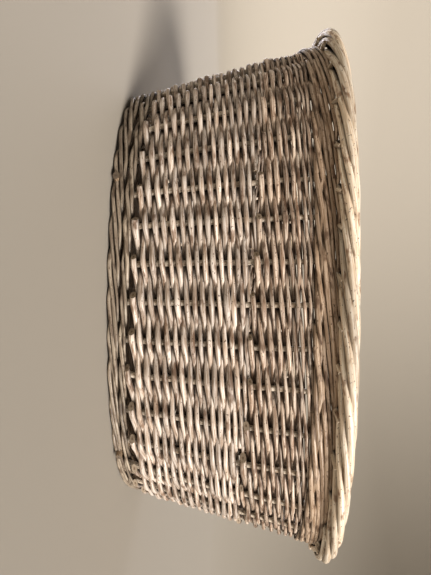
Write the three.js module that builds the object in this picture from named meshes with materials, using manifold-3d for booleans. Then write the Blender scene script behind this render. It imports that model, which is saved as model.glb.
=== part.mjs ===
// A woven willow basket: a flared, rounded wall of randing and waling on upright stakes,
// a stick-and-weave base, and a thick rod border round the rim.
// Millimetres, +Z up. X runs along the basket, Y across it. The origin is the middle of the foot,
// on the surface the basket stands on.
import * as THREE from "three";
import { mergeVertices } from "three/addons/utils/BufferGeometryUtils.js";
import Module from "manifold-3d";

// ---- Driving dimensions -------------------------------------------------------------------
const HEIGHT = 270; // floor to the top of the border
const FOOT = { length: 560, width: 358, squareness: 2.4 }; // the wall's middle line at the floor
const RIM = { length: 682, width: 466, squareness: 2.45 }; // and at the top
const BELLY = 2.5; // how far the wall swells half way up
const WALL = 17; // thickness of the woven wall, rods in front of and behind the stakes
const GAP = 0.3; // clearance between neighbouring pieces

const STAKES = 36; // uprights round the wall, one every 45 mm or so
const STAKE_PHASE = 0.25; // how far round the first one stands, in stake spaces from the +X end
const FAN = 0.16; // the stakes of the long sides stay nearly upright, and those at the ends fan out
const STAKE = { foot: 7.6, tip: 5.6, bottom: 14.2, top: 262, sides: 6, steps: 4 };

const UPSETT_TOP = 30; // the heavy wale that sets up the stakes at the foot
const LOWER_RAND_TOP = 164; // first block of randing
const UPPER_RAND_TOP = 235; // second block of randing
const TOP_WALE_TOP = 251; // the wale under the border
const ROLL = { offset: 8.7, halfWidth: 16.8, halfHeight: 11, sides: 8 }; // the border's section

const PANEL = { bottom: 0.4, top: 14.2 }; // the woven bottom
const STICK_LEVEL = 7; // height of the base sticks' middle line
const STICK_PROUD = 3; // how far their cut ends stand out of the foot
const CROSS_STICK = { count: 6, pitch: 38, diameter: 11 }; // pitch where the long sticks cross them
const LONG_STICK = { count: 3, pitch: 6.6, diameter: 6 };
// The slath is where the sticks cross. They run straight through it, and fan out beyond it.
const SLATH = { halfLength: 128, held: 109, halfWidth: 14 };
const STICK_SIDES = 8;
const STICK_STEPS = 14;

const ROUND_STEPS = 2 * STAKES; // steps round the wall
const OUTLINE_STEPS = 720; // fine steps used to measure along an outline

// ---- Finishes -----------------------------------------------------------------------------
const finish = (color, roughness) => new THREE.MeshStandardMaterial({ color, roughness, metalness: 0 });
const GREY_BUFF = finish(0xa8917a, 0.72); // weathered willow low on the wall
const TAN_BUFF = finish(0xa07c56, 0.68); // warmer willow near the rim
const BORDER_BUFF = finish(0xc6a67c, 0.55); // pale, thick border rods
const STICK_BROWN = finish(0x8a6c4e, 0.75); // stout base sticks and stakes

// ---- The wall's outline -------------------------------------------------------------------
const mix = (low, high, share) => low + (high - low) * share;

/** Half length, half width and squareness of the wall's middle line at a height. */
function outlineAt(z) {
  const share = z / HEIGHT;
  const swell = BELLY * 4 * share * (1 - share);
  return {
    a: mix(FOOT.length, RIM.length, share) / 2 + swell,
    b: mix(FOOT.width, RIM.width, share) / 2 + swell,
    n: mix(FOOT.squareness, RIM.squareness, share),
  };
}

/** The superellipse at a height as fine steps, with the distance run to each one. */
const outlines = new Map();
function measuredOutline(z) {
  if (outlines.has(z)) return outlines.get(z);
  const { a, b, n } = outlineAt(z);
  const points = [];
  const run = [0];
  for (let i = 0; i <= OUTLINE_STEPS; i++) {
    const angle = (2 * Math.PI * i) / OUTLINE_STEPS;
    const c = Math.cos(angle);
    const s = Math.sin(angle);
    const x = a * Math.sign(c) * Math.abs(c) ** (2 / n);
    const y = b * Math.sign(s) * Math.abs(s) ** (2 / n);
    points.push(new THREE.Vector2(x, y));
    if (i > 0) run.push(run[i - 1] + points[i].distanceTo(points[i - 1]));
  }
  outlines.set(z, { points, run });
  return outlines.get(z);
}

/** The point a share of the way round the wall at a height, moved outwards by an offset. */
function wallPoint(share, z, offset = 0) {
  const { points, run } = measuredOutline(z);
  const turn = share - Math.floor(share);
  const target = turn * run[OUTLINE_STEPS];
  let low = 0;
  let high = OUTLINE_STEPS;
  while (high - low > 1) {
    const middle = (low + high) >> 1;
    if (run[middle] <= target) low = middle;
    else high = middle;
  }
  const along = (target - run[low]) / (run[high] - run[low]);
  const point = points[low].clone().lerp(points[high], along);
  const tangent = points[high].clone().sub(points[low]).normalize();
  return point.add(new THREE.Vector2(tangent.y, -tangent.x).multiplyScalar(offset));
}

/** A place counted in stake spaces from the first stake, as a share of the way round at a height. */
function shareAt(spaces, z) {
  const even = (spaces + STAKE_PHASE) / STAKES;
  return even + (FAN * z * Math.sin(4 * Math.PI * even)) / (4 * Math.PI * HEIGHT);
}

// ---- Solids -------------------------------------------------------------------------------
const wasm = await Module();
wasm.setup();

/** A closed three.js geometry as a manifold solid. */
function toSolid(geometry) {
  const bare = geometry.clone();
  bare.deleteAttribute("normal");
  bare.deleteAttribute("uv");
  const merged = mergeVertices(bare, 1e-3);
  const vertProperties = new Float32Array(merged.attributes.position.array);
  const triVerts = new Uint32Array(merged.index.array);
  return new wasm.Manifold(new wasm.Mesh({ numProp: 3, vertProperties, triVerts }));
}

/** A manifold solid as a three.js geometry. */
function toGeometry(solid) {
  const { vertProperties, triVerts } = solid.getMesh();
  const geometry = new THREE.BufferGeometry();
  geometry.setAttribute("position", new THREE.BufferAttribute(new Float32Array(vertProperties), 3));
  geometry.setIndex(new THREE.BufferAttribute(new Uint32Array(triVerts), 1));
  geometry.computeVertexNormals();
  return geometry;
}

/** A profile of [offset, height] points, carried round the wall; a point at null lies on the axis. */
function roundTheWall(profile) {
  const AXIS_TO_WALL = 100; // any radius larger than the offsets
  const radiusOf = (offset) => (offset === null ? 0 : AXIS_TO_WALL + offset);
  const points = profile.map(([offset, z]) => new THREE.Vector2(radiusOf(offset), z));
  if (profile[0][0] !== null) points.push(points[0].clone());
  const lathe = new THREE.LatheGeometry(points, ROUND_STEPS);
  const place = lathe.attributes.position;
  for (let i = 0; i < place.count; i++) {
    const radius = Math.hypot(place.getX(i), place.getZ(i));
    const z = place.getY(i);
    if (radius < 1e-6) {
      place.setXYZ(i, 0, 0, z);
      continue;
    }
    const turn = Math.atan2(place.getX(i), place.getZ(i)) / (2 * Math.PI);
    const step = Math.round(turn * ROUND_STEPS) / ROUND_STEPS;
    const { x, y } = wallPoint(step, z, radius - AXIS_TO_WALL);
    place.setXYZ(i, x, y, z);
  }
  return lathe;
}

/** A band of the wall between two heights, as a profile with a middle row where it is tall. */
function bandProfile(bottom, top) {
  const rows = top - bottom > 2 * WALL ? [bottom, (bottom + top) / 2, top] : [bottom, top];
  const outside = rows.map((z) => [WALL / 2, z]);
  const inside = rows.map((z) => [-WALL / 2, z]);
  return [...outside, ...inside.reverse()];
}

/** A stake that follows the wall upwards; extra widens and lengthens it for the channel it needs. */
function stakeGeometry(number, extra = 0) {
  const bottom = STAKE.bottom - extra;
  const top = STAKE.top + extra;
  const foot = STAKE.foot / 2 + extra;
  const tip = STAKE.tip / 2 + extra;
  const rod = new THREE.CylinderGeometry(tip, foot, top - bottom, STAKE.sides, STAKE.steps);
  rod.rotateX(Math.PI / 2).translate(0, 0, (top + bottom) / 2);
  const place = rod.attributes.position;
  for (let i = 0; i < place.count; i++) {
    const z = place.getZ(i);
    const middle = wallPoint(shareAt(number, z), z);
    place.setXYZ(i, place.getX(i) + middle.x, place.getY(i) + middle.y, z);
  }
  return rod;
}

/** A round rod along a list of points, bent smoothly where the points turn. */
function rodThrough(points, radius) {
  const path = new THREE.CatmullRomCurve3(points, false, "centripetal");
  const ring = Array.from({ length: STICK_SIDES }, (_, i) => {
    const angle = (2 * Math.PI * (i + 0.5)) / STICK_SIDES;
    return new THREE.Vector2(radius * Math.cos(angle), radius * Math.sin(angle));
  });
  const options = { steps: STICK_STEPS, bevelEnabled: false, extrudePath: path };
  return toSolid(new THREE.ExtrudeGeometry(new THREE.Shape(ring), options));
}

// ---- The base -----------------------------------------------------------------------------
// The sticks end midway between two stakes, in every second space, all round the foot.
const FIRST_STICK = 1.5; // stake spaces from the first stake
const stickEnd = (number, extra) => {
  const share = shareAt(2 * number + FIRST_STICK, STICK_LEVEL);
  const { x, y } = wallPoint(share, STICK_LEVEL, WALL / 2 + STICK_PROUD + extra);
  return new THREE.Vector3(x, y, STICK_LEVEL);
};
const spread = (count, pitch) => Array.from({ length: count }, (_, i) => (i - (count - 1) / 2) * pitch);
const crossX = spread(CROSS_STICK.count, CROSS_STICK.pitch);
const longY = spread(LONG_STICK.count, LONG_STICK.pitch);
const STICK_ENDS = STAKES / 2;

/** Cross stick i, counted from the -X end: straight through the slath, fanned out to both sides. */
function crossRod(i, extra = 0) {
  const front = stickEnd(CROSS_STICK.count + LONG_STICK.count + 1 + i, extra);
  const back = stickEnd(CROSS_STICK.count - i, extra);
  const x = crossX[i];
  const straight = [-1, 0, 1].map((side) => new THREE.Vector3(x, side * SLATH.halfWidth, STICK_LEVEL));
  return rodThrough([front, ...straight, back], CROSS_STICK.diameter / 2 + extra);
}

/** Long stick i, counted from the -Y side: straight through the slath, fanned out at both ends. */
function longRod(i, extra = 0) {
  const right = stickEnd(STICK_ENDS - LONG_STICK.count + 1 + i, extra);
  const left = stickEnd(STICK_ENDS / 2 - i, extra);
  const y = longY[i];
  const { halfLength, held } = SLATH;
  const straight = [-halfLength, -held, 0, held, halfLength].map((x) => {
    return new THREE.Vector3(x, y, STICK_LEVEL);
  });
  return rodThrough([left, ...straight, right], LONG_STICK.diameter / 2 + extra);
}

/** The split in a cross stick that the long sticks are threaded through. */
function splitFor(x) {
  const width = LONG_STICK.count * LONG_STICK.pitch + 2 * GAP;
  const split = new THREE.BoxGeometry(2 * CROSS_STICK.diameter, width, LONG_STICK.diameter + 2 * GAP);
  return toSolid(split.translate(x, 0, STICK_LEVEL));
}

const crossSticks = crossX.map((x, i) => crossRod(i).subtract(splitFor(x)));
const longSticks = longY.map((y, i) => longRod(i));
const stickRoom = [...crossX.map((x, i) => crossRod(i, GAP)), ...longY.map((y, i) => longRod(i, GAP))];

const panelEdge = -WALL / 2 - GAP;
const panelProfile = [
  [null, PANEL.bottom],
  [panelEdge, PANEL.bottom],
  [panelEdge, PANEL.top],
  [null, PANEL.top],
];
const panel = stickRoom.reduce((left, room) => left.subtract(room), toSolid(roundTheWall(panelProfile)));

// ---- The wall and the border --------------------------------------------------------------
const stakes = Array.from({ length: STAKES }, (_, i) => toSolid(stakeGeometry(i)));
const stakeRoom = stakes.map((stake, i) => toSolid(stakeGeometry(i, GAP)));

/** A profile carried round the wall, with a channel cut for every stake. */
function wovenBand(profile) {
  return stakeRoom.reduce((left, room) => left.subtract(room), toSolid(roundTheWall(profile)));
}

// The border's section is an oval that leans outwards over the wall, cut off flat on the top wale.
const borderProfile = Array.from({ length: ROLL.sides - 1 }, (_, i) => {
  const angle = (2 * Math.PI * (i - 1)) / ROLL.sides;
  const offset = ROLL.offset + ROLL.halfWidth * Math.cos(angle);
  const z = HEIGHT - ROLL.halfHeight * (1 - Math.sin(angle));
  return [offset, Math.max(z, TOP_WALE_TOP + GAP)];
});

const upsettWale = stickRoom.reduce(
  (left, room) => left.subtract(room),
  wovenBand(bandProfile(0, UPSETT_TOP)),
);
const bands = [
  ["lower_randing", wovenBand(bandProfile(UPSETT_TOP + GAP, LOWER_RAND_TOP)), GREY_BUFF],
  ["upper_randing", wovenBand(bandProfile(LOWER_RAND_TOP + GAP, UPPER_RAND_TOP)), TAN_BUFF],
  ["top_wale", wovenBand(bandProfile(UPPER_RAND_TOP + GAP, TOP_WALE_TOP)), TAN_BUFF],
  ["rod_border", wovenBand(borderProfile), BORDER_BUFF],
];

// ---- The basket ---------------------------------------------------------------------------
const basket = new THREE.Group();
function add(name, geometry, material) {
  const mesh = new THREE.Mesh(geometry, material);
  mesh.name = name;
  basket.add(mesh);
}

crossSticks.forEach((solid, i) => add(`base_cross_stick_${i + 1}`, toGeometry(solid), STICK_BROWN));
longSticks.forEach((solid, i) => add(`base_long_stick_${i + 1}`, toGeometry(solid), STICK_BROWN));
add("base_weave", toGeometry(panel), GREY_BUFF);
add("upsett_wale", toGeometry(upsettWale), GREY_BUFF);
stakes.forEach((solid, i) => {
  const number = String(i + 1).padStart(2, "0");
  add(`stake_${number}`, toGeometry(solid), STICK_BROWN);
});
for (const [name, solid, material] of bands) add(name, toGeometry(solid), material);

export default basket;
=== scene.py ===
"""A woven willow basket: its rods, stakes, wales, border and base, built as they are woven.

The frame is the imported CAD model. Lengths in this file are in millimetres and turn to metres when a
mesh is made. A place on the wall is given in stake spaces: 0 at the first stake, 36 once round.
"""

from __future__ import annotations

import logging
import math
from dataclasses import dataclass, field
from enum import Enum

import bpy
import numpy as np
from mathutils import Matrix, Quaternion, Vector

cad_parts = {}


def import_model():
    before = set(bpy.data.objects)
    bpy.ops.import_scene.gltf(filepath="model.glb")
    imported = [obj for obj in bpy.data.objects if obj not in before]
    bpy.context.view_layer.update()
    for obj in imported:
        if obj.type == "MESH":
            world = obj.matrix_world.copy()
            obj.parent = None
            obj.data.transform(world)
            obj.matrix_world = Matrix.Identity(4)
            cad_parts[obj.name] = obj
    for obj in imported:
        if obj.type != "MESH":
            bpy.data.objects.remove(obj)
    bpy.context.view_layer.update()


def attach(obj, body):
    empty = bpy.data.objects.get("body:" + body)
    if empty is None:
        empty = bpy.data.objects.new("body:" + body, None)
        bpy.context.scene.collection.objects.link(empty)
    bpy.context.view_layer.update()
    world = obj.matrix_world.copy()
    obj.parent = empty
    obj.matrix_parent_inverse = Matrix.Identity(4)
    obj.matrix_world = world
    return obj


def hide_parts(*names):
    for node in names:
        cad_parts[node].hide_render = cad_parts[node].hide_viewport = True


LOG = logging.getLogger("basket")
MM = 0.001
BODY = "root"
GRAIN_RUN = 4000  # each rod starts at a random place along this length of grain
# How far a rod's skin faces one way where its painted shade starts, and where the painted shade is darkest.
BACK = (0.2, 1.0)  # away from the face of the wall that the rod lies at
INDOORS = (0, -0.7)  # outwards, so below 0 it faces into the basket, where painted shade darkens it
ROLLED = (0.5, -0.45)  # to the open air round the border's roll


class Slot(Enum):
    """The record's material slots."""

    WEATHERED = "weathered_willow"
    TAN = "tan_willow"
    BORDER = "border_willow"
    STAKE = "stake"
    STICK = "base_stick"


class StickKind(Enum):
    """The two kinds of base stick."""

    CROSS = "cross"
    LONG = "long"


class RodEnd(Enum):
    """How a rod ends: cut square, cut on a long slant that faces outwards, or run out to a thin tip."""

    SQUARE = 0.12
    SLANT = 1.5
    TIP = 0.0


def smooth(low: float, high: float, value: np.ndarray) -> np.ndarray:
    """Rises smoothly from 0 at low to 1 at high."""
    share = np.clip((np.asarray(value, float) - low) / (high - low), 0, 1)
    return share * share * (3 - 2 * share)


def linear(srgb_hex: str) -> tuple[float, float, float, float]:
    """Turns an sRGB hex colour to the linear colour that a shader takes.

    Args:
        srgb_hex: Six hex digits, without a hash sign.

    Returns:
        Red, green, blue and an alpha of 1.
    """
    channels = [int(srgb_hex[i : i + 2], 16) / 255 for i in (0, 2, 4)]
    curve = [c / 12.92 if c <= 0.04045 else ((c + 0.055) / 1.055) ** 2.4 for c in channels]
    return (*curve, 1.0)


# ---- Shapes ----------------------------------------------------------------------------------


def oval(a: float, b: float, n: float, steps: int) -> tuple[np.ndarray, np.ndarray, np.ndarray]:
    """Traces a squared-off oval.

    Args:
        a: Its half length.
        b: Its half width.
        n: Its squareness, which is 2 for an ellipse.
        steps: How many steps it is traced in.

    Returns:
        Each point's x and y, and how far round it lies. The last point closes the oval.
    """
    angle = np.linspace(0, 2 * math.pi, steps + 1)
    c, s = np.cos(angle), np.sin(angle)
    x = a * np.sign(c) * np.abs(c) ** (2 / n)
    y = b * np.sign(s) * np.abs(s) ** (2 / n)
    return x, y, np.concatenate([[0], np.cumsum(np.hypot(np.diff(x), np.diff(y)))])


class Wobble:
    """Smooth, seeded wandering: a sum of a few waves with random phases."""

    WAVES = 5
    SPREAD = (0.6, 1.8)  # of the wavelengths, against the main one

    def __init__(self, rng: np.random.Generator, size: float, wavelength: float) -> None:
        """Draws the waves.

        Args:
            rng: The source of random numbers.
            size: How far it wanders, as a standard deviation.
            wavelength: The main wavelength, in the units of the values it is called with.
        """
        self.rates = 2 * math.pi / (wavelength * rng.uniform(*self.SPREAD, self.WAVES))
        self.phases = rng.uniform(0, 2 * math.pi, self.WAVES)
        self.size = size * math.sqrt(2 / self.WAVES)

    def __call__(self, value: np.ndarray) -> np.ndarray:
        """The wander at each value."""
        angles = np.multiply.outer(np.asarray(value, float), self.rates) + self.phases
        return self.size * np.sin(angles).sum(-1)


@dataclass
class Wall:
    """The wall's middle surface: an oval that grows from foot to rim, with the stakes spaced round it.

    The sizes are those of the CAD model. The places are worked out once on a grid and read from it.
    """

    height: float = 270
    foot: tuple[float, float, float] = (560, 358, 2.4)  # length, width, squareness
    rim: tuple[float, float, float] = (682, 466, 2.45)
    belly: float = 2.5
    half_thickness: float = 6
    stakes: int = 36
    phase: float = 0.25  # how far the first stake stands past the +X end, in stake spaces
    fan: float = 0.16  # the stakes of the long sides stay nearly upright, and those at the ends fan out
    stake_foot: float = 7.6
    stake_tip: float = 5.6
    stake_slip: float = 1.2  # how far a stake may stand off its even place
    columns: int = 1440  # points of the grid round each level
    look: int = 3  # how many columns each way an outward direction is measured over
    step: float = 10
    lowest: float = -20
    spare_levels: int = 4  # above the rim
    seed: int = 20
    grid: np.ndarray = field(init=False)
    slip: np.ndarray = field(init=False)

    def __post_init__(self) -> None:
        """Measures each level's outline and stores its points and outward directions."""
        rng = np.random.default_rng(self.seed)
        self.slip = rng.normal(0, self.stake_slip, self.stakes)
        levels = np.arange(self.lowest, self.height + self.spare_levels * self.step, self.step)
        self.grid = np.array([self.outline(z) for z in levels])

    def axes(self, z: float) -> tuple[float, float, float]:
        """Measures one level.

        Args:
            z: The height.

        Returns:
            Half length, half width and squareness.
        """
        share = z / self.height
        swell = self.belly * 4 * share * (1 - share)
        size = [low + (high - low) * share for low, high in zip(self.foot, self.rim)]
        return size[0] / 2 + swell, size[1] / 2 + swell, size[2]

    def outline(self, z: float) -> np.ndarray:
        """Evenly spaced points round one level.

        Args:
            z: The height.

        Returns:
            One row for each column of the grid: x, y, and the outward direction's x and y.
        """
        x, y, run = oval(*self.axes(z), steps=4 * self.columns)
        even = np.linspace(0, run[-1], self.columns, endpoint=False)
        x, y = np.interp(even, run, x), np.interp(even, run, y)
        dx = np.roll(x, -self.look) - np.roll(x, self.look)
        dy = np.roll(y, -self.look) - np.roll(y, self.look)
        size = np.hypot(dx, dy)
        return np.column_stack([x, y, dy / size, -dx / size])

    def read(self, spaces: np.ndarray, z: np.ndarray) -> np.ndarray:
        """Reads the grid between its points, with each stake's slip let in.

        Args:
            spaces: How far round, in stake spaces.
            z: Heights.

        Returns:
            x, y, and the outward direction's x and y, at each place.
        """
        spaces, z = np.broadcast_arrays(np.asarray(spaces, float), np.asarray(z, float))
        whole = np.floor(spaces).astype(int)
        part = spaces - whole
        gap = 2 * math.pi * self.axes(self.height / 2)[0] / self.stakes
        before = self.slip[whole % self.stakes]
        after = self.slip[(whole + 1) % self.stakes]
        slipped = spaces + (before + (after - before) * part) / gap
        even = (slipped + self.phase) / self.stakes
        fanned = even + self.fan * z / self.height * np.sin(4 * math.pi * even) / (4 * math.pi)
        column = np.mod(fanned, 1) * self.columns
        just_short = len(self.grid) - 1.001  # of the last level, so that there is always one above
        row = np.clip((z - self.lowest) / self.step, 0, just_short)
        c0, r0 = np.floor(column).astype(int), np.floor(row).astype(int)
        fc, fr = (column - c0)[..., None], (row - r0)[..., None]
        c0, c1 = c0 % self.columns, (c0 + 1) % self.columns
        low = self.grid[r0, c0] * (1 - fc) + self.grid[r0, c1] * fc
        high = self.grid[r0 + 1, c0] * (1 - fc) + self.grid[r0 + 1, c1] * fc
        return low * (1 - fr) + high * fr

    def place(self, spaces: np.ndarray, z: np.ndarray, offset: np.ndarray = 0.0) -> np.ndarray:
        """Points on the wall.

        Args:
            spaces: How far round, in stake spaces.
            z: Heights.
            offset: How far out from the wall's middle.

        Returns:
            One row of x, y, z for each point.
        """
        spaces, z, offset = np.broadcast_arrays(*(np.asarray(v, float) for v in (spaces, z, offset)))
        found = self.read(spaces, z)
        xy = found[..., :2] + found[..., 2:] * offset[..., None]
        return np.concatenate([xy, z[..., None]], -1)

    def outward(self, spaces: np.ndarray, z: np.ndarray) -> np.ndarray:
        """Outward directions on the wall, level with the ground."""
        found = self.read(spaces, z)
        return np.concatenate([found[..., 2:], np.zeros((*found.shape[:-1], 1))], -1)

    def stake_radius(self, z: np.ndarray) -> np.ndarray:
        """A stake's radius at a height."""
        return (self.stake_foot + (self.stake_tip - self.stake_foot) * np.asarray(z) / self.height) / 2


class RodMesh:
    """Gathers rods into one mesh, with what their finish needs to know at each vertex.

    grain is the place in the rod, across, across and along, in metres. tone is a random number for each
    rod. The third value is painted shade: 1 where a rod's skin faces the gaps of the weave and 0 where
    it is open to the air.
    """

    def __init__(self, name: str, sides: int = 8) -> None:
        """Starts an empty mesh.

        Args:
            name: The piece's name.
            sides: How many sides each rod's section has.
        """
        self.name = name
        self.sides = sides
        self.points: list[np.ndarray] = []
        self.grain: list[np.ndarray] = []
        self.tone: list[np.ndarray] = []
        self.painted_shade: list[np.ndarray] = []
        self.quads: list[np.ndarray] = []
        self.caps: list[np.ndarray] = []
        self.count = 0

    def rod(
        self,
        path: np.ndarray,
        radius: np.ndarray,
        rng: np.random.Generator,
        lie: np.ndarray | float = 0.0,
        tall: np.ndarray | float = 1.0,
        up: tuple[float, float, float] | np.ndarray = (0, 0, 1),
        start: RodEnd = RodEnd.SQUARE,
        end: RodEnd = RodEnd.TIP,
        crevice: float = 0.5,
        inside: float = 0.4,
        open_to: np.ndarray | None = None,
    ) -> None:
        """Adds one rod along a path.

        Args:
            path: The rod's centre line, one row for each ring.
            radius: Its radius at each ring.
            rng: The source of its tone and of its place in the grain.
            lie: Where its centre line lies in the wall, from -1 at the inner face to 1 at the outer.
            tall: How much taller than wide its section is.
            up: The direction that the section's height follows.
            start: How the first end is cut.
            end: How the last end is cut.
            crevice: How much painted shade lies on its sides, where it nearly meets its neighbours.
            inside: How much painted shade its skin gets towards the inside of the basket.
            open_to: The direction to the open air at each ring, for a rod that doesn't lie in the wall.
                Skin that faces away from it gets painted shade.
        """
        count = len(path)
        radius = np.broadcast_to(np.asarray(radius, float), (count,)).copy()
        along = np.gradient(path, axis=0)
        run = np.concatenate([[0], np.cumsum(np.linalg.norm(np.diff(path, axis=0), axis=1))])
        along /= np.linalg.norm(along, axis=1, keepdims=True)
        rise = np.broadcast_to(np.asarray(up, float), (count, 3))
        rise = rise - (rise * along).sum(1, keepdims=True) * along
        rise /= np.linalg.norm(rise, axis=1, keepdims=True)
        out = np.cross(along, rise)
        angle = 2 * math.pi * np.arange(self.sides) / self.sides
        wide_part = np.cos(angle)[None, :, None]
        tall_part = np.sin(angle)[None, :, None]
        height = (radius * np.broadcast_to(tall, (count,)))[:, None, None]
        wide = radius[:, None, None]
        shape = wide_part * wide * out[:, None] + tall_part * height * rise[:, None]
        rings = path[:, None] + shape
        for ring, cut in ((0, start), (count - 1, end)):
            lean = cut.value * radius[ring] * np.cos(angle)[:, None]
            rings[ring] = rings[ring] + lean * along[ring]
        grain = np.empty_like(rings)
        grain[..., 0] = wide_part[..., 0] * wide[..., 0]
        grain[..., 1] = tall_part[..., 0] * wide[..., 0]
        grain[..., 2] = run[:, None] + rng.uniform(0, GRAIN_RUN)
        # Painted shade: skin that faces the gaps of the weave, or away from the air round the border's
        # roll, is marked for the finish to darken.
        if open_to is None:
            lies = np.broadcast_to(np.asarray(lie, float), (count,))
            shaded = self.painted_shade_in_wall(np.cos(angle)[None], lies[:, None], crevice, inside)
        else:
            section = wide_part * out[:, None] + tall_part * rise[:, None]
            shaded = smooth(*ROLLED, (section * open_to[:, None]).sum(-1))
        tone = rng.uniform(0, 1)
        first = self.count
        self.extend(rings.reshape(-1, 3), grain.reshape(-1, 3), tone, shaded.ravel())
        side = np.arange(self.sides)
        after = (side + 1) % self.sides
        base = first + self.sides * np.arange(count - 1)[:, None]
        quad = np.stack(
            [base + side, base + after, base + self.sides + after, base + self.sides + side], -1
        )
        self.quads.append(quad.reshape(-1, 4)[:, ::-1])
        for ring, flip in ((0, False), (count - 1, True)):
            self.cap(rings[ring], grain[ring], tone, float(shaded[ring, 0]), flip)

    @staticmethod
    def painted_shade_in_wall(facing: np.ndarray, lie: np.ndarray, crevice: float, inside: float) -> np.ndarray:
        """Works out the painted shade on a rod in the wall, darkest where its skin faces the gaps of the
        weave.

        Args:
            facing: How far each part of its section faces outwards, from -1 to 1.
            lie: Where its centre line lies in the wall, from -1 at the inner face to 1 at the outer.
            crevice: How much painted shade lies on its sides.
            inside: How much painted shade its skin gets towards the inside of the basket.

        Returns:
            The painted shade of each part at each ring.
        """
        shaded = smooth(*BACK, -facing * lie)
        shaded = np.minimum(shaded + crevice * (1 - np.abs(facing)) ** 2, 1)
        return np.maximum(shaded, inside * smooth(*INDOORS, facing))

    def extend(self, points: np.ndarray, grain: np.ndarray, tone: float, painted_shade: np.ndarray) -> None:
        """Adds vertices with their values.

        Args:
            points: Their places.
            grain: Their places in the rod.
            tone: The rod's tone.
            painted_shade: The painted shade of each.
        """
        self.points.append(points)
        self.grain.append(grain)
        self.tone.append(np.full(len(points), tone))
        self.painted_shade.append(painted_shade)
        self.count += len(points)

    def cap(self, ring: np.ndarray, grain: np.ndarray, tone: float, painted_shade: float, flip: bool) -> None:
        """Closes a rod's end with a fan of its own vertices, so that the cut has a crisp edge.

        Args:
            ring: The end's ring of points.
            grain: Their places in the rod.
            tone: The rod's tone.
            painted_shade: The painted shade of the whole end.
            flip: Whether it is the rod's last end, which faces the other way.
        """
        first = self.count
        middle = ring.mean(0, keepdims=True)
        core = grain.mean(0, keepdims=True)
        self.extend(
            np.vstack([ring, middle]), np.vstack([grain, core]), tone, np.full(len(ring) + 1, painted_shade)
        )
        side = np.arange(self.sides)
        after = (side + 1) % self.sides
        if flip:
            side, after = after, side
        fan = np.column_stack([first + side, first + after, np.full(self.sides, first + self.sides)])
        self.caps.append(fan)

    def build(self, materials: list[bpy.types.Material]) -> bpy.types.Object:
        """Makes the Blender object.

        Args:
            materials: The rods' finish, then the finish of their cut ends.

        Returns:
            The object, in metres.
        """
        points = np.vstack(self.points) * MM
        quads = np.vstack(self.quads)
        caps = np.vstack(self.caps)
        mesh = bpy.data.meshes.new(self.name)
        mesh.vertices.add(len(points))
        mesh.vertices.foreach_set("co", points.ravel())
        corners = np.concatenate([quads.ravel(), caps.ravel()])
        sizes = np.concatenate([np.full(len(quads), 4), np.full(len(caps), 3)])
        mesh.loops.add(len(corners))
        mesh.loops.foreach_set("vertex_index", corners)
        mesh.polygons.add(len(sizes))
        mesh.polygons.foreach_set("loop_start", np.concatenate([[0], np.cumsum(sizes)[:-1]]))
        mesh.polygons.foreach_set("loop_total", sizes)
        mesh.polygons.foreach_set("use_smooth", np.arange(len(sizes)) < len(quads))
        mesh.polygons.foreach_set("material_index", (np.arange(len(sizes)) >= len(quads)).astype(int))
        mesh.update(calc_edges=True)
        self.attribute(mesh, "grain", "FLOAT_VECTOR", "vector", np.vstack(self.grain) * MM)
        self.attribute(mesh, "tone", "FLOAT", "value", np.concatenate(self.tone))
        self.attribute(mesh, "painted_shade", "FLOAT", "value", np.concatenate(self.painted_shade))
        for material in materials:
            mesh.materials.append(material)
        mesh.validate()
        piece = bpy.data.objects.new(self.name, mesh)
        bpy.context.scene.collection.objects.link(piece)
        return piece

    @staticmethod
    def attribute(mesh: bpy.types.Mesh, name: str, kind: str, key: str, values: np.ndarray) -> None:
        """Stores one value for each vertex."""
        layer = mesh.attributes.new(name, kind, "POINT")
        layer.data.foreach_set(key, values.astype(np.float32).ravel())


# ---- Finishes --------------------------------------------------------------------------------


def add(
    tree: bpy.types.NodeTree,
    kind: str,
    output: str,
    inputs: dict[str | int, object],
    **settings: object,
) -> bpy.types.NodeSocket:
    """Adds a node with its settings and links.

    Args:
        tree: The node tree.
        kind: The node's type.
        output: The name of the output that is used.
        inputs: A value, or the socket to link from, for each input by name or number.
        **settings: The node's own properties.

    Returns:
        The output.
    """
    node = tree.nodes.new(kind)
    for name, value in settings.items():
        setattr(node, name, value)
    for name, value in inputs.items():
        if isinstance(value, bpy.types.NodeSocket):
            tree.links.new(value, node.inputs[name])
        else:
            node.inputs[name].default_value = value
    return node.outputs[output]


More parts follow.
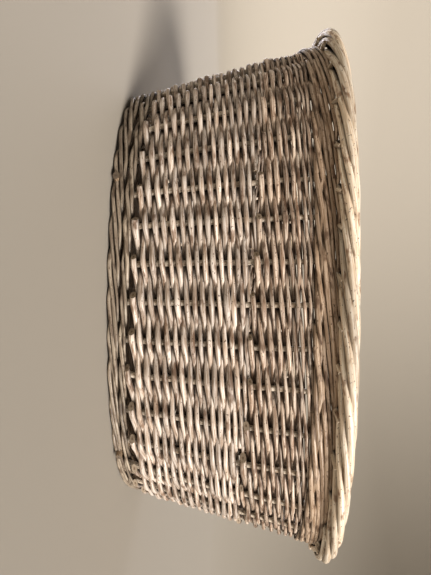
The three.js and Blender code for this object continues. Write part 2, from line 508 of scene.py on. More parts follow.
@dataclass(frozen=True)
class Mark:
    """One kind of marking on willow: a noise in the rod's grain that shows a colour where it is strong."""

    size_mm: float
    stretch: tuple[float, float, float]  # across, across and along; below 1 draws the marks out
    detail: float
    band: tuple[float, float]  # the noise at which the colour starts to show, and shows fully
    most: float  # how much of the colour shows there

    def noise(self, tree: bpy.types.NodeTree, grain: bpy.types.NodeSocket) -> bpy.types.NodeSocket:
        """Draws the noise.

        Args:
            tree: The node tree.
            grain: The place in the rod, in metres.

        Returns:
            The noise's strength.
        """
        place = add(
            tree, "ShaderNodeVectorMath", "Vector", {0: grain, 1: self.stretch}, operation="MULTIPLY"
        )
        scale = 1 / (self.size_mm * MM)
        inputs = {"Vector": place, "Scale": scale, "Detail": self.detail}
        return add(tree, "ShaderNodeTexNoise", "Fac", inputs)

    def lay(
        self,
        tree: bpy.types.NodeTree,
        noise: bpy.types.NodeSocket,
        under: bpy.types.NodeSocket | tuple[float, ...],
        over: str,
    ) -> bpy.types.NodeSocket:
        """Lays the marking's colour over another.

        Args:
            tree: The node tree.
            noise: The marking's noise.
            under: The colour under it.
            over: The marking's own colour, in hex.

        Returns:
            The marked colour.
        """
        low, high = self.band
        strength = {"Value": noise, "From Min": low, "From Max": high}
        shown = add(tree, "ShaderNodeMapRange", "Result", strength, interpolation_type="SMOOTHSTEP")
        share = add(tree, "ShaderNodeMath", "Value", {0: shown, 1: self.most}, operation="MULTIPLY")
        colours = {"Factor": share, "A": under, "B": linear(over)}
        return add(tree, "ShaderNodeMix", "Result", colours, data_type="RGBA")


@dataclass(frozen=True)
class Willow:
    """Buff willow: boiled in its bark, peeled, dried and woven damp, then years of light and dust.

    Boiling stains the skin tan, and peeling leaves a fine streak along each rod. The eye sees a satin
    skin, paler where it has been rubbed and bleached, browner in blotches, with dark specks and bud
    scars round the rod. Painted shade, near black, darkens the skin in the gaps of the weave.
    """

    name: str
    pale: str
    middle: str
    brown: str
    dark: str = "3a2415"  # bud scars and specks
    # The colour of the painted shade in the gaps of the weave, near black.
    shade_colour: str = "120904"
    shade_strength: float = 0.95  # how strongly the painted shade darkens the gaps
    tones: tuple[float, float] = (0.66, 1.2)  # how dark or bright one rod is against another
    # Real fibres are 0.2 to 0.5 mm wide, drawn coarser so that they show.
    streak: Mark = Mark(1.1, (1, 1, 0.045), 3, (0.38, 0.66), 1)
    blotch: Mark = Mark(5, (1, 1, 0.3), 3, (0.5, 0.66), 0.8)
    # A bud every 40 to 60 mm along a rod.
    scar: Mark = Mark(26, (0.35, 0.35, 1), 1, (0.69, 0.73), 0.7)
    speck: Mark = Mark(1.8, (1, 1, 0.6), 1, (0.66, 0.73), 0.75)
    roughness: tuple[float, float] = (0.3, 0.52)  # satin skin, and duller where it is blotched
    rough_band: tuple[float, float] = (0.3, 0.7)
    ior: float = 1.5
    specular: float = 0.45
    scar_height: float = 0.5  # against the streaks
    bump_mm: float = 0.4
    bump_strength: float = 0.75

    def make(self) -> bpy.types.Material:
        """Builds the node material.

        Returns:
            The material.
        """
        material = bpy.data.materials.new(self.name)
        material.use_nodes = True
        tree = material.node_tree
        grain = add(tree, "ShaderNodeAttribute", "Vector", {}, attribute_name="grain")
        tone = add(tree, "ShaderNodeAttribute", "Fac", {}, attribute_name="tone")
        # How much painted shade each vertex gets, from the rod mesh.
        painted_shade = add(tree, "ShaderNodeAttribute", "Fac", {}, attribute_name="painted_shade")
        streak = self.streak.noise(tree, grain)
        blotch = self.blotch.noise(tree, grain)
        scar = self.scar.noise(tree, grain)
        streaked = self.streak.lay(tree, streak, linear(self.middle), self.pale)
        skin = self.blotch.lay(tree, blotch, streaked, self.brown)
        darkest, brightest = self.tones
        own = add(
            tree, "ShaderNodeMapRange", "Result", {"Value": tone, "To Min": darkest, "To Max": brightest}
        )
        toned = add(
            tree,
            "ShaderNodeMix",
            "Result",
            {"Factor": 1, "A": skin, "B": own},
            data_type="RGBA",
            blend_type="MULTIPLY",
        )
        scarred = self.scar.lay(tree, scar, toned, self.dark)
        specked = self.speck.lay(tree, self.speck.noise(tree, grain), scarred, self.dark)
        # Painted shade: the colour is mixed towards near black where the skin faces the gaps.
        shade_mix = add(tree, "ShaderNodeMath", "Value", {0: painted_shade, 1: self.shade_strength}, operation="MULTIPLY")
        colours = {"Factor": shade_mix, "A": specked, "B": linear(self.shade_colour)}
        colour = add(tree, "ShaderNodeMix", "Result", colours, data_type="RGBA")
        low, high = self.rough_band
        smoothest, dullest = self.roughness
        rough = add(
            tree,
            "ShaderNodeMapRange",
            "Result",
            {"Value": blotch, "From Min": low, "From Max": high, "To Min": smoothest, "To Max": dullest},
        )
        # Where the painted shade is deepest, the skin is made matt, so it has no shine there.
        dulled = add(tree, "ShaderNodeMath", "Value", {0: painted_shade, 1: rough}, operation="MAXIMUM")
        relief = {0: scar, 1: self.scar_height, 2: streak}
        height = add(tree, "ShaderNodeMath", "Value", relief, operation="MULTIPLY_ADD")
        bump = {"Strength": self.bump_strength, "Distance": self.bump_mm * MM, "Height": height}
        shader = tree.nodes["Principled BSDF"]
        tree.links.new(colour, shader.inputs["Base Color"])
        tree.links.new(dulled, shader.inputs["Roughness"])
        tree.links.new(add(tree, "ShaderNodeBump", "Normal", bump), shader.inputs["Normal"])
        shader.inputs["IOR"].default_value = self.ior
        shader.inputs["Specular IOR Level"].default_value = self.specular
        return material


@dataclass(frozen=True)
class CutWillow:
    """A willow rod's cut end, sliced with a knife: pale wood round a brown pith, greyed and dusty.

    The eye sees a matt face, lighter than the skin, with a darker middle.
    """

    name: str
    wood: str
    pith: str
    pith_mm: tuple[float, float] = (1.3, 0.4)  # from the middle: where the pith ends and where it is full
    fibre: Mark = Mark(0.9, (1, 1, 1), 2, (0.35, 0.7), 0.5)
    roughness: tuple[float, float] = (0.75, 0.95)
    bump_mm: float = 0.3
    bump_strength: float = 0.4

    def make(self) -> bpy.types.Material:
        """Builds the node material.

        Returns:
            The material.
        """
        material = bpy.data.materials.new(self.name)
        material.use_nodes = True
        tree = material.node_tree
        grain = add(tree, "ShaderNodeAttribute", "Vector", {}, attribute_name="grain")
        across = add(
            tree, "ShaderNodeVectorMath", "Vector", {0: grain, 1: (1, 1, 0)}, operation="MULTIPLY"
        )
        out = add(tree, "ShaderNodeVectorMath", "Value", {0: across}, operation="LENGTH")
        edge, full = self.pith_mm
        inner = {"Value": out, "From Min": edge * MM, "From Max": full * MM}
        core = add(tree, "ShaderNodeMapRange", "Result", inner, interpolation_type="SMOOTHSTEP")
        fibre = self.fibre.noise(tree, grain)
        wood = self.fibre.lay(tree, fibre, linear(self.wood), self.pith)
        colours = {"Factor": core, "A": wood, "B": linear(self.pith)}
        colour = add(tree, "ShaderNodeMix", "Result", colours, data_type="RGBA")
        low, high = self.roughness
        rough = add(tree, "ShaderNodeMapRange", "Result", {"Value": fibre, "To Min": low, "To Max": high})
        bump = {"Strength": self.bump_strength, "Distance": self.bump_mm * MM, "Height": fibre}
        shader = tree.nodes["Principled BSDF"]
        tree.links.new(colour, shader.inputs["Base Color"])
        tree.links.new(rough, shader.inputs["Roughness"])
        tree.links.new(add(tree, "ShaderNodeBump", "Normal", bump), shader.inputs["Normal"])
        return material


# Ends cut off flush with the weave.
CUT_END = CutWillow("cut_willow_end", wood="b3a694", pith="7a6856")
# Stick ends at the foot, darker, because floor dust and wear have worked into them.
WORN_END = CutWillow("weathered_stick_end", wood="766a5c", pith="463b31")
# The lower wall, bleached grey-beige, with brown mottling.
BLEACHED = Willow("weathered_buff_willow", pale="ede4da", middle="af9c8a", brown="725945")
# The upper wall, less bleached: warm tan, darkening to brown.
TANNED = Willow("tan_buff_willow", pale="e2d4c4", middle="99826f", brown="5f4735")
# The border's thick rods, rubbed pale, straw to tan, with fewer blotches.
STRAW = Willow(
    "straw_border_willow",
    pale="faf1e0",
    middle="d6c3aa",
    brown="87664c",
    blotch=Mark(5, (1, 1, 0.3), 3, (0.536, 0.696), 0.8),
)
# The wale under the border, in its shade and the brownest of the wall.
BROWNED = Willow("brown_buff_willow", pale="d0bda8", middle="9f8871", brown="624b3a")
# The wale at the foot, dull with floor dust.
DUSTY = Willow("dusty_foot_willow", pale="b4a998", middle="85786a", brown="5a4c3f")
# The stakes, pale where they show between the rods, with little painted shade on them.
STAKE_SKIN = Willow("stake_willow", pale="ebe2d4", middle="cbbca8", brown="94806b", shade_strength=0.3)
# The base's stout sticks, and the thin rods round them.
STICK_SKIN = Willow("base_stick_willow", pale="bba992", middle="95806a", brown="645241")


# ---- Sub-assemblies --------------------------------------------------------------------------


@dataclass
class Woven:
    """What every woven sub-assembly shares: the wall it lies in, its finish and how it is handed over."""

    wall: Wall
    skin: bpy.types.Material
    cut: bpy.types.Material

    def hand_over(self, mesh: RodMesh, slot: Slot, node: str) -> None:
        """Makes a piece of a mesh, and ties it to the frame.

        Args:
            mesh: The gathered rods.
            slot: The record's slot for the piece. It is not used.
            node: The CAD node that it stands for.
        """
        piece = mesh.build([self.skin, self.cut])
        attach(piece, BODY)
        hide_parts(node)
        LOG.info("%s: %d faces", piece.name, len(piece.data.polygons))

    def lie(self, offset: np.ndarray) -> np.ndarray:
        """Where a rod lies between the wall's faces, from its offset."""
        return np.clip(offset / self.wall.half_thickness, -1, 1)


@dataclass
class Randing(Woven):
    """A block of French randing: one rod for each stake, in front of one and behind the next.

    All the rods rise together, a pitch for each stake they pass. The pitch and the rods' thickness fall
    from butt to tip. Runs and places along a rod are in stake spaces, and each pair of a size and a
    wavelength is the wandering that no weaver can avoid.
    """

    name: str
    slot: Slot
    low: float
    high: float
    low_tilt: float  # how much the lower edge falls for each millimetre towards +X
    high_tilt: float
    butt_pitch: float
    tip_pitch: float
    pieces: int
    seed: int
    fullness: float = 1.18  # a rod's thickness against the pitch
    crowded: float = 0.22  # how much fuller the rods lie at the top
    crowded_from: float = 0.6  # as a share of the run
    taut: float = 0.9  # a stiff rod runs straight from stake to stake and bends only round them
    nestle: float = 0.3  # how far a rod dips under its neighbour as it goes behind
    tall: float = 1.18  # a rod's height against its width, at a stake and between stakes
    squeezed: float = 0.98
    bite: float = 0.4  # how far a rod is pressed against a stake
    butt_at: float = 0.84  # where a butt lies, past its first stake
    butt_spread: float = 0.06
    overrun: tuple[float, float] = (-0.3, 1.6)  # how much further than the block is high a rod may run
    thick_spread: float = 0.09
    stray: float = 1.6  # how far a butt may lie above or below its place
    settled: float = 2  # the run in which a stray butt finds its place
    tip_run: float = 2
    thinning: float = 0.3  # how much thinner the tip gets
    flutter: tuple[float, float] = (0.28, 1.7)  # in height
    drift: tuple[float, float] = (0.35, 7)
    lumps: tuple[float, float] = (0.05, 1.3)  # in thickness
    sway: tuple[float, float] = (0.05, 2.3)  # in and out
    crevice: float = 0.8
    steps: int = 10  # rings in each stake space

    def build(self) -> None:
        """Weaves the block."""
        rng = np.random.default_rng(self.seed)
        spaces = 2 * (self.high - self.low) / (self.butt_pitch + self.tip_pitch)
        each = self.wall.stakes // self.pieces
        for part in range(self.pieces):
            mesh = RodMesh(f"{self.name}_{part + 1}")
            for rod in range(part * each, (part + 1) * each):
                self.weave(mesh, rod, spaces, rng)
            self.hand_over(mesh, self.slot, self.name)

    def weave(self, mesh: RodMesh, rod: int, spaces: float, rng: np.random.Generator) -> None:
        """Adds one rod, from the stake that its butt lies against.

        Args:
            mesh: The piece that the rod belongs to.
            rod: The rod's number, which is also its first stake's.
            spaces: How many stake spaces the block's rods run for.
            rng: The source of its irregularities.
        """
        start = self.butt_at + rng.normal(0, self.butt_spread)
        run = np.arange(start, spaces + rng.uniform(*self.overrun), 1 / self.steps)
        thick = rng.normal(1, self.thick_spread)
        at = rod + run
        z = self.height(at, (run - 0.5) / spaces)
        z = z + Wobble(rng, *self.flutter)(run) + Wobble(rng, *self.drift)(run)
        z = z + self.stray * rng.normal() * (1 - smooth(start, start + self.settled, run))
        pitch = self.butt_pitch + (self.tip_pitch - self.butt_pitch) * run / spaces
        crowding = 1 + self.crowded * smooth(self.crowded_from, 1, run / spaces)
        radius = self.fullness * pitch / 2 * thick * crowding
        radius = radius * (1 + Wobble(rng, *self.lumps)(run))
        radius = radius * (1 - self.thinning * smooth(spaces - self.tip_run, spaces + self.overrun[1], run))
        # The first two terms of a triangle wave, so that a rod is straight between stakes.
        wave = self.taut * (np.cos(math.pi * run) + np.cos(3 * math.pi * run) / 9)
        z = z - self.nestle * np.sin(math.pi * run)
        reach = self.wall.stake_radius(z) + radius - self.bite
        offset = -reach * wave * (1 + Wobble(rng, *self.sway)(run))
        tall = self.squeezed + (self.tall - self.squeezed) * wave**2
        path = self.wall.place(at, z, offset)
        mesh.rod(path, radius, rng, self.lie(offset), tall, start=RodEnd.SLANT, crevice=self.crevice)

    def height(self, at: np.ndarray, share: np.ndarray) -> np.ndarray:
        """Works out a rod's height between the block's tilted edges.

        Args:
            at: Where its points lie round the wall.
            share: How much of its run is behind each.

        Returns:
            The height of each, if nothing wandered.
        """
        climbed = self.butt_pitch * share + (self.tip_pitch - self.butt_pitch) * share**2 / 2
        rise = climbed / ((self.butt_pitch + self.tip_pitch) / 2)
        x = self.wall.place(at, (self.low + self.high) / 2)[:, 0]
        bottom = self.low - self.low_tilt * x
        top = self.high - self.high_tilt * x
        return bottom + (top - bottom) * rise


@dataclass(frozen=True)
class WaleRow:
    """One row of a wale."""

    strands: int
    low: float  # its lower edge
    pitch: float  # how far apart its strands lie in height


@dataclass
class Wale(Woven):
    """Rows of waling: in a row of four strands, each goes in front of three stakes and behind one.

    Runs are in stake spaces, and each pair of a size and a wavelength is a strand's wandering.
    """

    name: str
    slot: Slot
    rows: tuple[WaleRow, ...]
    seed: int
    apart: bool = True  # whether each row is a piece of its own
    tilt: float = 0  # how much thinner the strands get for each millimetre towards +X, as a share
    fullness: float = 1.14  # a strand's thickness against the pitch
    stagger: float = 0.4  # how unevenly the strands start
    rounds: tuple[int, int] = (2, 3)  # how many times a rod goes behind a stake before the next takes over
    overlap: float = 0.55  # how far a rod runs on beside the next
    butt: float = 1.1  # a rod's thickness at its butt, and how much of it is lost towards its tip
    thinning: float = 0.28
    thick_spread: float = 0.05
    lumps: tuple[float, float] = (0.04, 1.5)  # in thickness
    drift: tuple[float, float] = (0.3, 3)  # in height
    sway: tuple[float, float] = (0.04, 2.3)  # in and out
    bite: float = 0.3  # how far a strand is pressed against a stake
    ground: float = 0.2  # how far above the floor the lowest strands stay
    crevice: float = 1
    steps: int = 8  # rings in each stake space

    def build(self) -> None:
        """Weaves the rows."""
        rng = np.random.default_rng(self.seed)
        mesh = RodMesh(f"{self.name}_1")
        for number, row in enumerate(self.rows):
            if number and self.apart:
                self.hand_over(mesh, self.slot, self.name)
                mesh = RodMesh(f"{self.name}_{number + 1}")
            for strand in range(row.strands):
                self.weave(mesh, strand, row, rng)
        self.hand_over(mesh, self.slot, self.name)

    def weave(self, mesh: RodMesh, strand: int, row: WaleRow, rng: np.random.Generator) -> None:
        """Adds one strand, as rods laid end to end.

        Args:
            mesh: The row's piece.
            strand: The strand's number.
            row: The row.
            rng: The source of its irregularities.
        """
        fewest, most = self.rounds
        begin = strand + rng.uniform(0.0, self.stagger)
        once_round = begin + self.wall.stakes
        while begin < once_round:
            stop = min(begin + row.strands * rng.integers(fewest, most + 1), once_round)
            run = np.arange(begin, stop + self.overlap, 1 / self.steps)
            front, rise = self.stroke(run - strand, row.strands)
            share = (run - begin) / (stop - begin)
            swell = 1 - self.tilt * self.wall.place(run, row.low)[:, 0]
            girth = (self.butt - self.thinning * share) * rng.normal(1, self.thick_spread)
            radius = self.fullness * row.pitch / 2 * girth
            radius = radius * (1 + Wobble(rng, *self.lumps)(run)) * np.sqrt(swell)
            z = (row.low + row.pitch * rise) * swell + Wobble(rng, *self.drift)(run)
            z = np.maximum(z, radius + self.ground)
            reach = self.wall.stake_radius(z) + radius - self.bite
            offset = reach * front * (1 + Wobble(rng, *self.sway)(run))
            path = self.wall.place(run, z, offset)
            lie = self.lie(offset)
            slant = RodEnd.SLANT
            mesh.rod(path, radius, rng, lie, start=slant, end=slant, crevice=self.crevice)
            begin = stop

    @staticmethod
    def stroke(run: np.ndarray, strands: int) -> tuple[np.ndarray, np.ndarray]:
        """Carries a strand in front of its stakes, then behind one.

        Args:
            run: How far it has run, from the stake that it goes behind.
            strands: How many strands the row has.

        Returns:
            Where it lies, from -1 behind a stake to 1 in front, and how many pitches high it lies. It
            climbs one pitch with each stake in front, and drops back to the bottom behind one.
        """
        turn = np.mod(run, strands)
        from_back = np.minimum(turn, strands - turn)
        front = -np.cos(math.pi * np.minimum(from_back, 1))
        behind = (turn + 1) % strands - 1
        drop = (strands - 1) / 2 - (strands - 2) / 2 * np.sin(math.pi / 2 * behind)
        return front, np.where(from_back >= 1, turn - 0.5, drop)


@dataclass
class Border(Woven):
    """The rod border: each stake's top, bent down and carried round in a roll with its neighbours."""

    name: str = "rod_border"
    centre: float = 8.7  # the roll's middle, out from the wall's middle
    middle: float = 260
    wide: float = 12.3  # half width and half height of the strands' ring
    high: float = 5.7
    radius: float = 4.3
    spaces: float = 6.6  # how many stake spaces one strand runs for
    from_angle: float = -130  # round the roll, in degrees, where 0 is straight out
    turned: float = 350
    tuck: float = 0.25  # how far a strand's end is tucked in, and from what share of its run
    tuck_from: float = 0.84
    wall_top: float = 246  # where a strand leaves the wall
    leaving: float = 0.5  # the stake spaces in which it does
    thinning: float = 0.2
    thick_spread: float = 0.05
    lumps: tuple[float, float] = (0.04, 1.5)  # size and wavelength of its wandering, in thickness
    twist: tuple[float, float] = (0.035, 2.5)  # and round the roll, in radians
    stub_at: float = 0.28  # past its stake
    stub_level: float = 250
    stub_out: tuple[float, float] = (3, 17)  # from where to where it pokes out
    stub_slant: float = 0.012  # stake spaces round for each millimetre out
    stub_rise: float = 0.12  # millimetres up for each millimetre out
    stub_radii: tuple[float, ...] = (2.5, 2.5, 2.5, 2.45, 2.2)
    stub_spread: tuple[float, float, float] = (0.06, 1, 0.8)  # of its place, its level and its reach
    pieces: int = 3
    sides: int = 10
    steps: int = 9
    seed: int = 7

    def build(self) -> None:
        """Lays the strands and the cut ends under them."""
        rng = np.random.default_rng(self.seed)
        each = self.wall.stakes // self.pieces
        for part in range(self.pieces):
            mesh = RodMesh(f"{self.name}_{part + 1}", self.sides)
            for stake in range(part * each, (part + 1) * each):
                self.strand(mesh, stake, rng)
                self.stub(mesh, stake, rng)
            self.hand_over(mesh, Slot.BORDER, self.name)

    def strand(self, mesh: RodMesh, stake: int, rng: np.random.Generator) -> None:
        """Adds the strand that grows from one stake.

        Args:
            mesh: The piece that it belongs to.
            stake: The stake's number.
            rng: The source of its irregularities.
        """
        run = np.arange(0, self.spaces, 1 / self.steps)
        share = run / self.spaces
        angle = np.radians(self.from_angle + self.turned * share)
        angle = angle + Wobble(rng, *self.twist)(run)
        ring = 1 - self.tuck * smooth(self.tuck_from, 1, share)
        left = smooth(0, self.leaving, run)
        offset = (self.centre + self.wide * ring * np.cos(angle)) * left
        z = self.middle + self.high * ring * np.sin(angle)
        z = self.wall_top + (z - self.wall_top) * left
        radius = self.radius * (1 - self.thinning * share) * rng.normal(1, self.thick_spread)
        radius = radius * (1 + Wobble(rng, *self.lumps)(run))
        at = stake + run
        path = self.wall.place(at, z, offset)
        # The direction out from the roll's middle: skin that faces away from it gets painted shade.
        heart = self.wall.place(at, self.middle, self.centre)
        away = (path - heart) / [self.wide, self.wide, self.high]
        away /= np.linalg.norm(away, axis=1, keepdims=True)
        mesh.rod(path, radius, rng, end=RodEnd.SQUARE, open_to=away)

    def stub(self, mesh: RodMesh, stake: int, rng: np.random.Generator) -> None:
        """Adds the short cut end that pokes out under the roll beside one stake.

        Args:
            mesh: The piece that it belongs to.
            stake: The stake's number.
            rng: The source of its irregularities.
        """
        place_spread, level_spread, reach_spread = self.stub_spread
        at = stake + self.stub_at + rng.normal(0, place_spread)
        z = self.stub_level + rng.normal(0, level_spread)
        root, end = self.stub_out
        out = np.linspace(root, end + rng.normal(0, reach_spread), len(self.stub_radii))
        path = self.wall.place(at + self.stub_slant * out, z + self.stub_rise * out, out)
        mesh.rod(path, np.array(self.stub_radii), rng, end=RodEnd.SQUARE, crevice=0)


@dataclass
class Stakes(Woven):
    """The uprights: each stands in the wall, with its foot turned in and pushed into the base."""

    bottom: float = 9
    top: float = 258
    tucked: float = 3  # how far in from the wall's middle the bottom leans, and up to what height
    tucked_height: float = 7
    tail: tuple[tuple[float, float], ...] = ((46, 2.6), (26, 3.0), (12, 3.4))  # how far in, and radius
    tail_drop: float = 1.5
    lean: tuple[float, float] = (0.006, 0.4)  # size in stake spaces, and wavelength as a share of it
    steps: int = 40
    sides: int = 12
    crevice: float = 0.1
    seed: int = 11

    def build(self) -> None:
        """Makes one piece for each stake."""
        rng = np.random.default_rng(self.seed)
        for stake in range(self.wall.stakes):
            self.stand(stake, rng)

    def stand(self, stake: int, rng: np.random.Generator) -> None:
        """Makes one stake.

        Args:
            stake: Its number.
            rng: The source of its irregularities.
        """
        share = np.linspace(0, 1, self.steps)
        z = self.bottom + (self.top - self.bottom) * share
        inward = self.tucked * (1 - smooth(self.bottom, self.bottom + self.tucked_height, z))
        at = stake + Wobble(rng, *self.lean)(share)
        tail_inward, tail_radius = np.array(self.tail).T
        tail = self.wall.place(stake, self.bottom - self.tail_drop, -tail_inward)
        path = np.vstack([tail, self.wall.place(at, z, -inward)])
        foot, tip = self.wall.stake_foot / 2, self.wall.stake_tip / 2
        radius = np.concatenate([tail_radius, foot + (tip - foot) * share])
        out = self.wall.outward(stake, self.wall.height / 2)
        across = (-out[1], out[0], 0.0)
        mesh = RodMesh(f"stake_rod_{stake + 1:02d}", self.sides)
        mesh.rod(path, radius, rng, up=across, end=RodEnd.SQUARE, crevice=self.crevice, inside=0)
        self.hand_over(mesh, Slot.STAKE, f"stake_{stake + 1:02d}")


@dataclass
class Base(Woven):
    """The base: cross sticks with long sticks through them, and pairs of rods woven round them.

    The sticks' ends are numbered round the foot from the +X end, one to every second stake space.
    """

    level: float = 7.2
    first_at: float = 1.5  # where end 0 is, in stake spaces
    end_spacing: float = 2
    foot_half: float = 8.5  # half the thickness of the wale at the foot
    proud: float = -5  # most ends are trimmed under the wale's strands
    long_ends: tuple[int, ...] = (2, 6, 11, 15)  # and these stand out
    long_end: float = 3
    cross_count: int = 6
    cross_pitch: float = 38
    cross_radius: float = 5.4
    long_count: int = 3
    long_pitch: float = 6.6
    long_radius: float = 3
    slath_length: float = 128  # half the size of the middle, where the sticks lie crossed
    slath_width: float = 14
    stick_height: float = 0.74  # the sticks are shaved flat where they are woven
    stick_sides: int = 12
    leg_points: int = 14
    easings: int = 3  # how often a stick's bends are averaged with their neighbours
    whittled: tuple[float, float] = (0.03, 12)  # size and wavelength of a stick's unevenness
    round_pitch: float = 6
    rod_radius: float = 1.75
    rod_step: float = 4.5
    rod_sides: int = 6
    first_round: float = 17
    length_lead: float = 110  # how much longer than wide each round is, on each side
    lift: float = 0.2
    bite: float = 0.2  # how far a rod is pressed against a stick
    pinch: float = 1.3  # how far a pair's rods close up side by side between the sticks
    drift: tuple[float, float] = (0.15, 40)
    lumps: tuple[float, float] = (0.05, 60)
    crevice: float = 0.3
    crossing_steps: int = 400
    seed: int = 5
    sticks: list[np.ndarray] = field(default_factory=list)

    def end(self, number: int) -> np.ndarray:
        """Finds where a stick's end stands out of the foot.

        Args:
            number: The end's number.

        Returns:
            The point.
        """
        out = self.long_end if number in self.long_ends else self.proud
        at = self.first_at + self.end_spacing * number
        return self.wall.place(at, self.level, self.foot_half + out)

    def build(self) -> None:
        """Makes the sticks and weaves the rounds."""
        rng = np.random.default_rng(self.seed)
        count = self.cross_count + self.long_count
        cross_x = self.cross_pitch * (np.arange(self.cross_count) - (self.cross_count - 1) / 2)
        for i, x in enumerate(cross_x):
            knots = [(x, y, self.level) for y in (-self.slath_width, self.slath_width)]
            knots = [self.end(count + 1 + i), *knots, self.end(self.cross_count - i)]
            self.stick(StickKind.CROSS, i + 1, np.array(knots), self.cross_radius, rng)
        long_y = self.long_pitch * (np.arange(self.long_count) - (self.long_count - 1) / 2)
        for i, y in enumerate(long_y):
            knots = [(x, y, self.level) for x in (-self.slath_length, self.slath_length)]
            knots = [self.end(count - i), *knots, self.end(2 * count - self.long_count + 1 + i)]
            self.stick(StickKind.LONG, i + 1, np.array(knots), self.long_radius, rng)
        widest = self.wall.axes(self.level)[1] - self.foot_half
        rounds = np.arange(self.first_round, widest - self.rod_radius, self.round_pitch)
        for part, group in enumerate(np.array_split(rounds, 2)):
            mesh = RodMesh(f"base_weave_{part + 1}", sides=self.rod_sides)
            for width in group:
                self.weave_round(mesh, width, widest, rng)
            self.hand_over(mesh, Slot.WEATHERED, "base_weave")

    def stick(
        self, kind: StickKind, number: int, knots: np.ndarray, radius: float, rng: np.random.Generator
    ) -> None:
        """Makes one base stick.

        Args:
            kind: Whether it is a cross or a long stick.
            number: Its number among its kind.
            knots: Its end, the crossing's near and far edge, and its other end.
            radius: Its radius.
            rng: The source of its irregularities.
        """
        share = np.linspace(0, 1, self.leg_points)[:, None]
        first, near, far, last = knots
        legs = [first + (near - first) * share]
        legs += [near + (far - near) * share[1:], far + (last - far) * share[1:]]
        path = np.vstack(legs)
        for _ in range(self.easings):
            path[1:-1] = (path[:-2] + 2 * path[1:-1] + path[2:]) / 4
        self.sticks.append(path)
        girth = radius * (1 + Wobble(rng, *self.whittled)(np.arange(len(path))))
        mesh = RodMesh(f"base_{kind.value}_{number}", sides=self.stick_sides)
        mesh.rod(
            path, girth, rng, tall=self.stick_height, end=RodEnd.SQUARE, crevice=self.crevice, inside=0
        )
        self.hand_over(mesh, Slot.STICK, f"base_{kind.value}_stick_{number}")

    def weave_round(
        self, mesh: RodMesh, width: float, widest: float, rng: np.random.Generator
    ) -> None:
        """Adds one round of pairing, two rods that cross between the sticks.

        Args:
            mesh: The piece that it belongs to.
            width: The round's half width.
            widest: The half width of the last round.
            rng: The source of its irregularities.
        """
        a, b = width + self.length_lead, width
        n = 2 + (self.wall.axes(self.level)[2] - 2) * width / widest
        x, y, run = oval(a, b, n, steps=self.wall.columns)
        even = np.linspace(0, run[-1], int(run[-1] / self.rod_step))
        x, y = np.interp(even, run, x), np.interp(even, run, y)
        crossings = np.sort([self.crossing(path, a, b, n, half) for path in self.sticks for half in (0, 1)])
        turns = np.concatenate([crossings[-1:] - 2 * math.pi, crossings, crossings[:1] + 2 * math.pi])
        passed = np.interp(np.arctan2(y * a, x * b), turns, np.arange(-1, len(crossings) + 1))
        dx, dy = np.gradient(x), np.gradient(y)
        size = np.hypot(dx, dy)
        over = self.cross_radius * self.stick_height + self.rod_radius - self.bite
        for side in (0, 1):
            turn = math.pi * (passed + side)
            inward = self.pinch * np.sin(turn)
            z = self.level + over * np.cos(turn) + self.lift + Wobble(rng, *self.drift)(even)
            path = np.column_stack([x - inward * dy / size, y + inward * dx / size, z])
            radius = self.rod_radius * (1 + Wobble(rng, *self.lumps)(even))
            mesh.rod(path, radius, rng, start=RodEnd.TIP, crevice=self.crevice, inside=0)

    def crossing(self, path: np.ndarray, a: float, b: float, n: float, half: int) -> float:
        """Finds the direction in which a stick's half leaves an oval.

        Args:
            path: The stick's centre line.
            a: The oval's half length.
            b: The oval's half width.
            n: Its squareness.
            half: 0 for the stick's first half and 1 for its second.

        Returns:
            The angle round the oval.
        """
        middle = len(path) // 2
        leg = path[middle::-1] if half == 0 else path[middle:]
        fine = np.linspace(0, len(leg) - 1, self.crossing_steps)
        x, y = np.interp(fine, range(len(leg)), leg[:, 0]), np.interp(fine, range(len(leg)), leg[:, 1])
        inside = (np.abs(x) / a) ** n + (np.abs(y) / b) ** n
        at = int(np.argmax(inside >= 1)) or len(fine) - 1
        return math.atan2(y[at] * a, x[at] * b)


# ---- The studio ------------------------------------------------------------------------------


@dataclass(frozen=True)
class Lamp:
    """A soft light that comes evenly from one direction, as from a tall window."""

    name: str
    toward: tuple[float, float, float]  # the direction to it from the basket
    spread: float  # how wide it looks from the basket, in degrees
    strength: float
    colour: str

    def hang(self) -> None:
        """Adds the light."""
        data = bpy.data.lights.new(self.name, "SUN")
        data.angle = math.radians(self.spread)
        data.energy = self.strength
        data.color = linear(self.colour)[:3]
        lamp = bpy.data.objects.new(self.name, data)
        bpy.context.scene.collection.objects.link(lamp)
        lamp.rotation_mode = "QUATERNION"
        lamp.rotation_quaternion = (-Vector(self.toward)).to_track_quat("-Z", "Y")


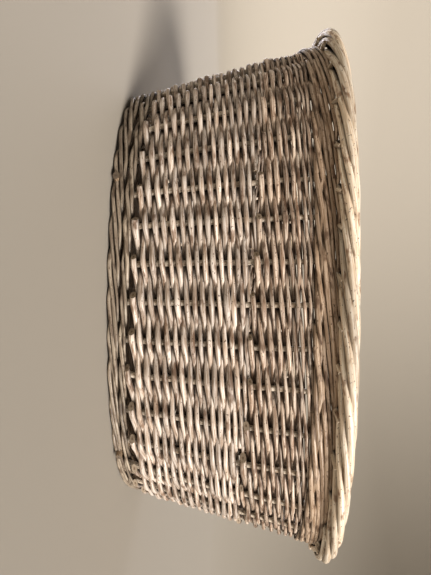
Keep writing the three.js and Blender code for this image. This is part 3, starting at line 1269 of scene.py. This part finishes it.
@dataclass(frozen=True)
class Studio:
    """A pale floor that curves up behind the basket, soft light and the camera."""

    lamps: tuple[Lamp, ...] = (
        Lamp("window", (0.62, -0.62, 0.55), 24, 4.05, "fff7f0"),
        Lamp("far_window", (-0.5, 0.85, 0.05), 30, 2.2, "f6f4ff"),
    )
    room: str = "ece9ee"  # the light that the room throws back
    room_strength: float = 0.14
    camera_at: tuple[float, float, float] = (-5, -657, 153.5)
    aim_at: tuple[float, float, float] = (-7.4, -203, 126)
    roll: float = 90.55  # the camera is turned on its side, so that the basket's mouth is to the right
    lens: float = 26.2
    sensor: float = 36
    paper: str = "aaa59b"
    paper_roughness: float = 0.9
    gap: float = 0.2  # the paper lies this far under the foot
    reach: float = 3600  # the backdrop's radius
    bend: float = 1400
    bend_steps: int = 14
    rise: float = 4200
    sides: int = 64

    def build(self) -> None:
        """Makes the floor, the lights and the camera."""
        self.floor()
        for lamp in self.lamps:
            lamp.hang()
        self.light_room()
        self.camera()
        bpy.context.scene.view_settings.view_transform = "Standard"
        bpy.context.scene.view_settings.look = "Medium High Contrast"

    def light_room(self) -> None:
        """Lights the room evenly."""
        world = bpy.data.worlds.new("studio")
        bpy.context.scene.world = world
        world.use_nodes = True
        background = world.node_tree.nodes["Background"]
        background.inputs["Color"].default_value = linear(self.room)
        background.inputs["Strength"].default_value = self.room_strength

    def camera(self) -> None:
        """Sets up the camera."""
        data = bpy.data.cameras.new("camera")
        data.lens = self.lens
        data.sensor_width = self.sensor
        camera = bpy.data.objects.new("camera", data)
        bpy.context.scene.collection.objects.link(camera)
        camera.location = Vector(self.camera_at) * MM
        aim = Vector(self.aim_at) - Vector(self.camera_at)
        turn = Quaternion((0, 0, 1), math.radians(self.roll))
        camera.rotation_mode = "QUATERNION"
        camera.rotation_quaternion = aim.to_track_quat("-Z", "Y") @ turn
        bpy.context.scene.camera = camera

    def floor(self) -> None:
        """Makes the floor, a round sheet of paper that curves up into a backdrop on every side."""
        inner = self.reach - self.bend
        bends = np.linspace(0, math.pi / 2, self.bend_steps)
        profile = [(inner + self.bend * math.sin(t), self.bend * (1 - math.cos(t))) for t in bends]
        profile.append((self.reach, self.rise))
        turns = 2 * math.pi * np.arange(self.sides) / self.sides
        points = [(0.0, 0.0, -self.gap)]
        points += [(r * math.cos(t), r * math.sin(t), z - self.gap) for r, z in profile for t in turns]
        faces = [(0, 1 + i, 1 + (i + 1) % self.sides) for i in range(self.sides)]
        for level in range(len(profile) - 1):
            low, high = 1 + level * self.sides, 1 + (level + 1) * self.sides
            faces += [
                (low + i, high + i, high + (i + 1) % self.sides, low + (i + 1) % self.sides)
                for i in range(self.sides)
            ]
        mesh = bpy.data.meshes.new("floor")
        mesh.from_pydata([Vector(p) * MM for p in points], [], faces)
        mesh.polygons.foreach_set("use_smooth", [True] * len(faces))
        material = bpy.data.materials.new("matt_paper")
        material.use_nodes = True
        shader = material.node_tree.nodes["Principled BSDF"]
        shader.inputs["Base Color"].default_value = linear(self.paper)
        shader.inputs["Roughness"].default_value = self.paper_roughness
        mesh.materials.append(material)
        floor = bpy.data.objects.new("floor", mesh)
        bpy.context.scene.collection.objects.link(floor)
        floor.visible_shadow = False  # the light comes in over the paper's edge


def main() -> None:
    """Builds the basket and its studio."""
    logging.basicConfig(level=logging.INFO, format="%(name)s %(message)s")
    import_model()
    Studio().build()
    wall = Wall()
    cut = CUT_END.make()
    Base(wall, STICK_SKIN.make(), WORN_END.make()).build()
    Stakes(wall, STAKE_SKIN.make(), cut).build()
    Wale(
        wall,
        DUSTY.make(),
        cut,
        name="upsett_wale",
        slot=Slot.WEATHERED,
        rows=(WaleRow(strands=4, low=0.2, pitch=5.3), WaleRow(strands=3, low=16, pitch=5.3)),
        seed=3,
        tilt=0.0015,
        fullness=1.0,
    ).build()
    Randing(
        wall,
        BLEACHED.make(),
        cut,
        name="lower_randing",
        slot=Slot.WEATHERED,
        low=29,
        high=165,
        low_tilt=0.033,
        high_tilt=0.05,
        butt_pitch=5.7,
        tip_pitch=3.7,
        pieces=4,
        seed=1,
    ).build()
    Randing(
        wall,
        TANNED.make(),
        cut,
        name="upper_randing",
        slot=Slot.TAN,
        low=165,
        high=231,
        low_tilt=0.05,
        high_tilt=0,
        butt_pitch=5.3,
        tip_pitch=2.3,
        pieces=3,
        seed=2,
    ).build()
    Wale(
        wall,
        BROWNED.make(),
        cut,
        name="top_wale",
        slot=Slot.TAN,
        rows=(WaleRow(strands=3, low=227.2, pitch=5.3), WaleRow(strands=5, low=234.4, pitch=4.7)),
        seed=4,
        apart=False,
    ).build()
    Border(wall, STRAW.make(), cut).build()


if __name__ == "__main__":
    main()
